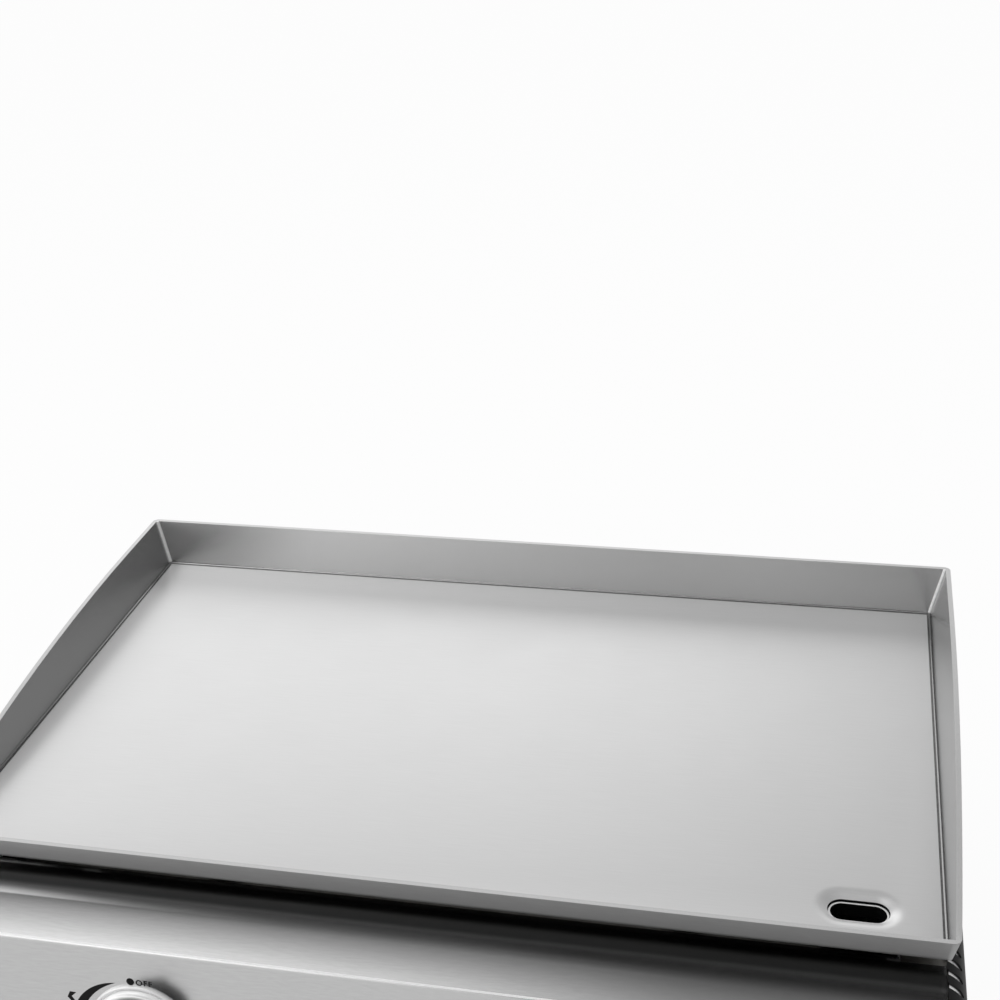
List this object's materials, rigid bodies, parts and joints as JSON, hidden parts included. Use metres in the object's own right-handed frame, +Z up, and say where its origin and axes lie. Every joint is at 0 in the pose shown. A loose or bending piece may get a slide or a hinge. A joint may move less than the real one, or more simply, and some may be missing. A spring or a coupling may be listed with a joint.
{
  "type": "portable gas griddle",
  "caption": "Tabletop gas griddle: a welded stainless cooking plate with walls lifts off a low body with burners, rolled control panel, knobs and a slide-out grease cup.",
  "frame": {"origin": "middle of the footprint, on the ground under the feet", "axes": "+X to the user's right along the cooking surface, +Y to the back, +Z up; the control panel faces -Y"},
  "size_m": [0.5976, 0.4628, 0.238],
  "materials": {
    "griddle_steel": "brushed along the length, satin",
    "weld_steel": "bright ground weld",
    "panel_steel": "finely brushed along the length",
    "liner_steel": "bright rolled sheet",
    "firebox_steel": "dull rolled sheet",
    "burner_steel": "satin tube",
    "screw_steel": "satin",
    "cover_paint": "fine satin powder coat",
    "tray_paint": "satin powder coat",
    "bezel_chrome": "satin chrome",
    "knob_plastic": "fine matt",
    "grip_plastic": "matt",
    "piezo_plastic": "matt",
    "ceramic": "glazed ceramic",
    "valve_aluminium": "die cast",
    "gas_brass": "machined",
    "pipe_steel": "zinc plated",
    "foot_rubber": "matt",
    "lead_rubber": "silicone sleeve"
  },
  "bodies": {
    "body": {"control_panel": "panel_steel", "panel_brackets": "firebox_steel", "left_side_cover": "cover_paint", "right_side_cover": "cover_paint", "hand_grips": "grip_plastic", "side_heat_shields": "liner_steel", "firebox_floor": "firebox_steel", "firebox_front": "firebox_steel", "firebox_back": "firebox_steel", "firebox_ends": "firebox_steel", "griddle_rests": "firebox_steel", "firebox_hangers": "firebox_steel", "bottom_tray": "tray_paint", "back_panel": "cover_paint", "manifold": "pipe_steel", "manifold_caps": "pipe_steel", "manifold_brackets": "firebox_steel", "supply_tube": "valve_aluminium", "gas_inlet": "gas_brass", "left_bezel": "bezel_chrome", "right_bezel": "bezel_chrome", "left_valve": "valve_aluminium", "right_valve": "valve_aluminium", "valve_caps": "valve_aluminium", "orifices": "gas_brass", "piezo_igniters": "piezo_plastic", "left_burner": "burner_steel", "right_burner": "burner_steel", "air_shutters": "burner_steel", "burner_shelf": "firebox_steel", "electrodes": "ceramic", "electrode_clips": "firebox_steel", "igniter_leads": "lead_rubber", "grease_chute": "liner_steel", "cup_rails": "firebox_steel", "rubber_feet": "foot_rubber", "foot_screws": "screw_steel", "cover_screws": "screw_steel", "back_screws": "screw_steel"},
    "griddle": {"griddle_plate": "griddle_steel", "griddle_surround": "griddle_steel", "grease_spout": "griddle_steel", "floor_seam_weld": "weld_steel", "corner_welds": "weld_steel", "griddle_stiffeners": "griddle_steel", "griddle_feet": "griddle_steel"},
    "grease_cup": {"grease_cup": "liner_steel"},
    "left_plunger": {"left_plunger": "gas_brass"},
    "right_plunger": {"right_plunger": "gas_brass"},
    "left_knob": {"left_knob": "knob_plastic", "left_stem": "gas_brass"},
    "right_knob": {"right_knob": "knob_plastic", "right_stem": "gas_brass"}
  },
  "joints": [
    {"name": "griddle_lift", "type": "slide", "parent": "body", "child": "griddle", "axis": [0, 0, 1], "range_m": [0, 0.15]},
    {"name": "cup_slide", "type": "slide", "parent": "body", "child": "grease_cup", "axis": [0, -1, 0], "range_m": [0, 0.12]},
    {"name": "left_push", "type": "slide", "parent": "body", "child": "left_plunger", "axis": [0, 0.9962, -0.0872], "range_m": [0, 0.003], "stiffness_N_per_m": 1200, "springref_m": -0.003},
    {"name": "left_turn", "type": "hinge", "parent": "left_plunger", "child": "left_knob", "pos_m": [-0.144, -0.19926, 0.1352], "axis": [0, -0.9962, 0.0872], "range_deg": [0, 210]},
    {"name": "right_push", "type": "slide", "parent": "body", "child": "right_plunger", "axis": [0, 0.9962, -0.0872], "range_m": [0, 0.003], "stiffness_N_per_m": 1200, "springref_m": -0.003},
    {"name": "right_turn", "type": "hinge", "parent": "right_plunger", "child": "right_knob", "pos_m": [0.144, -0.19926, 0.1352], "axis": [0, -0.9962, 0.0872], "range_deg": [0, 210]}
  ]
}
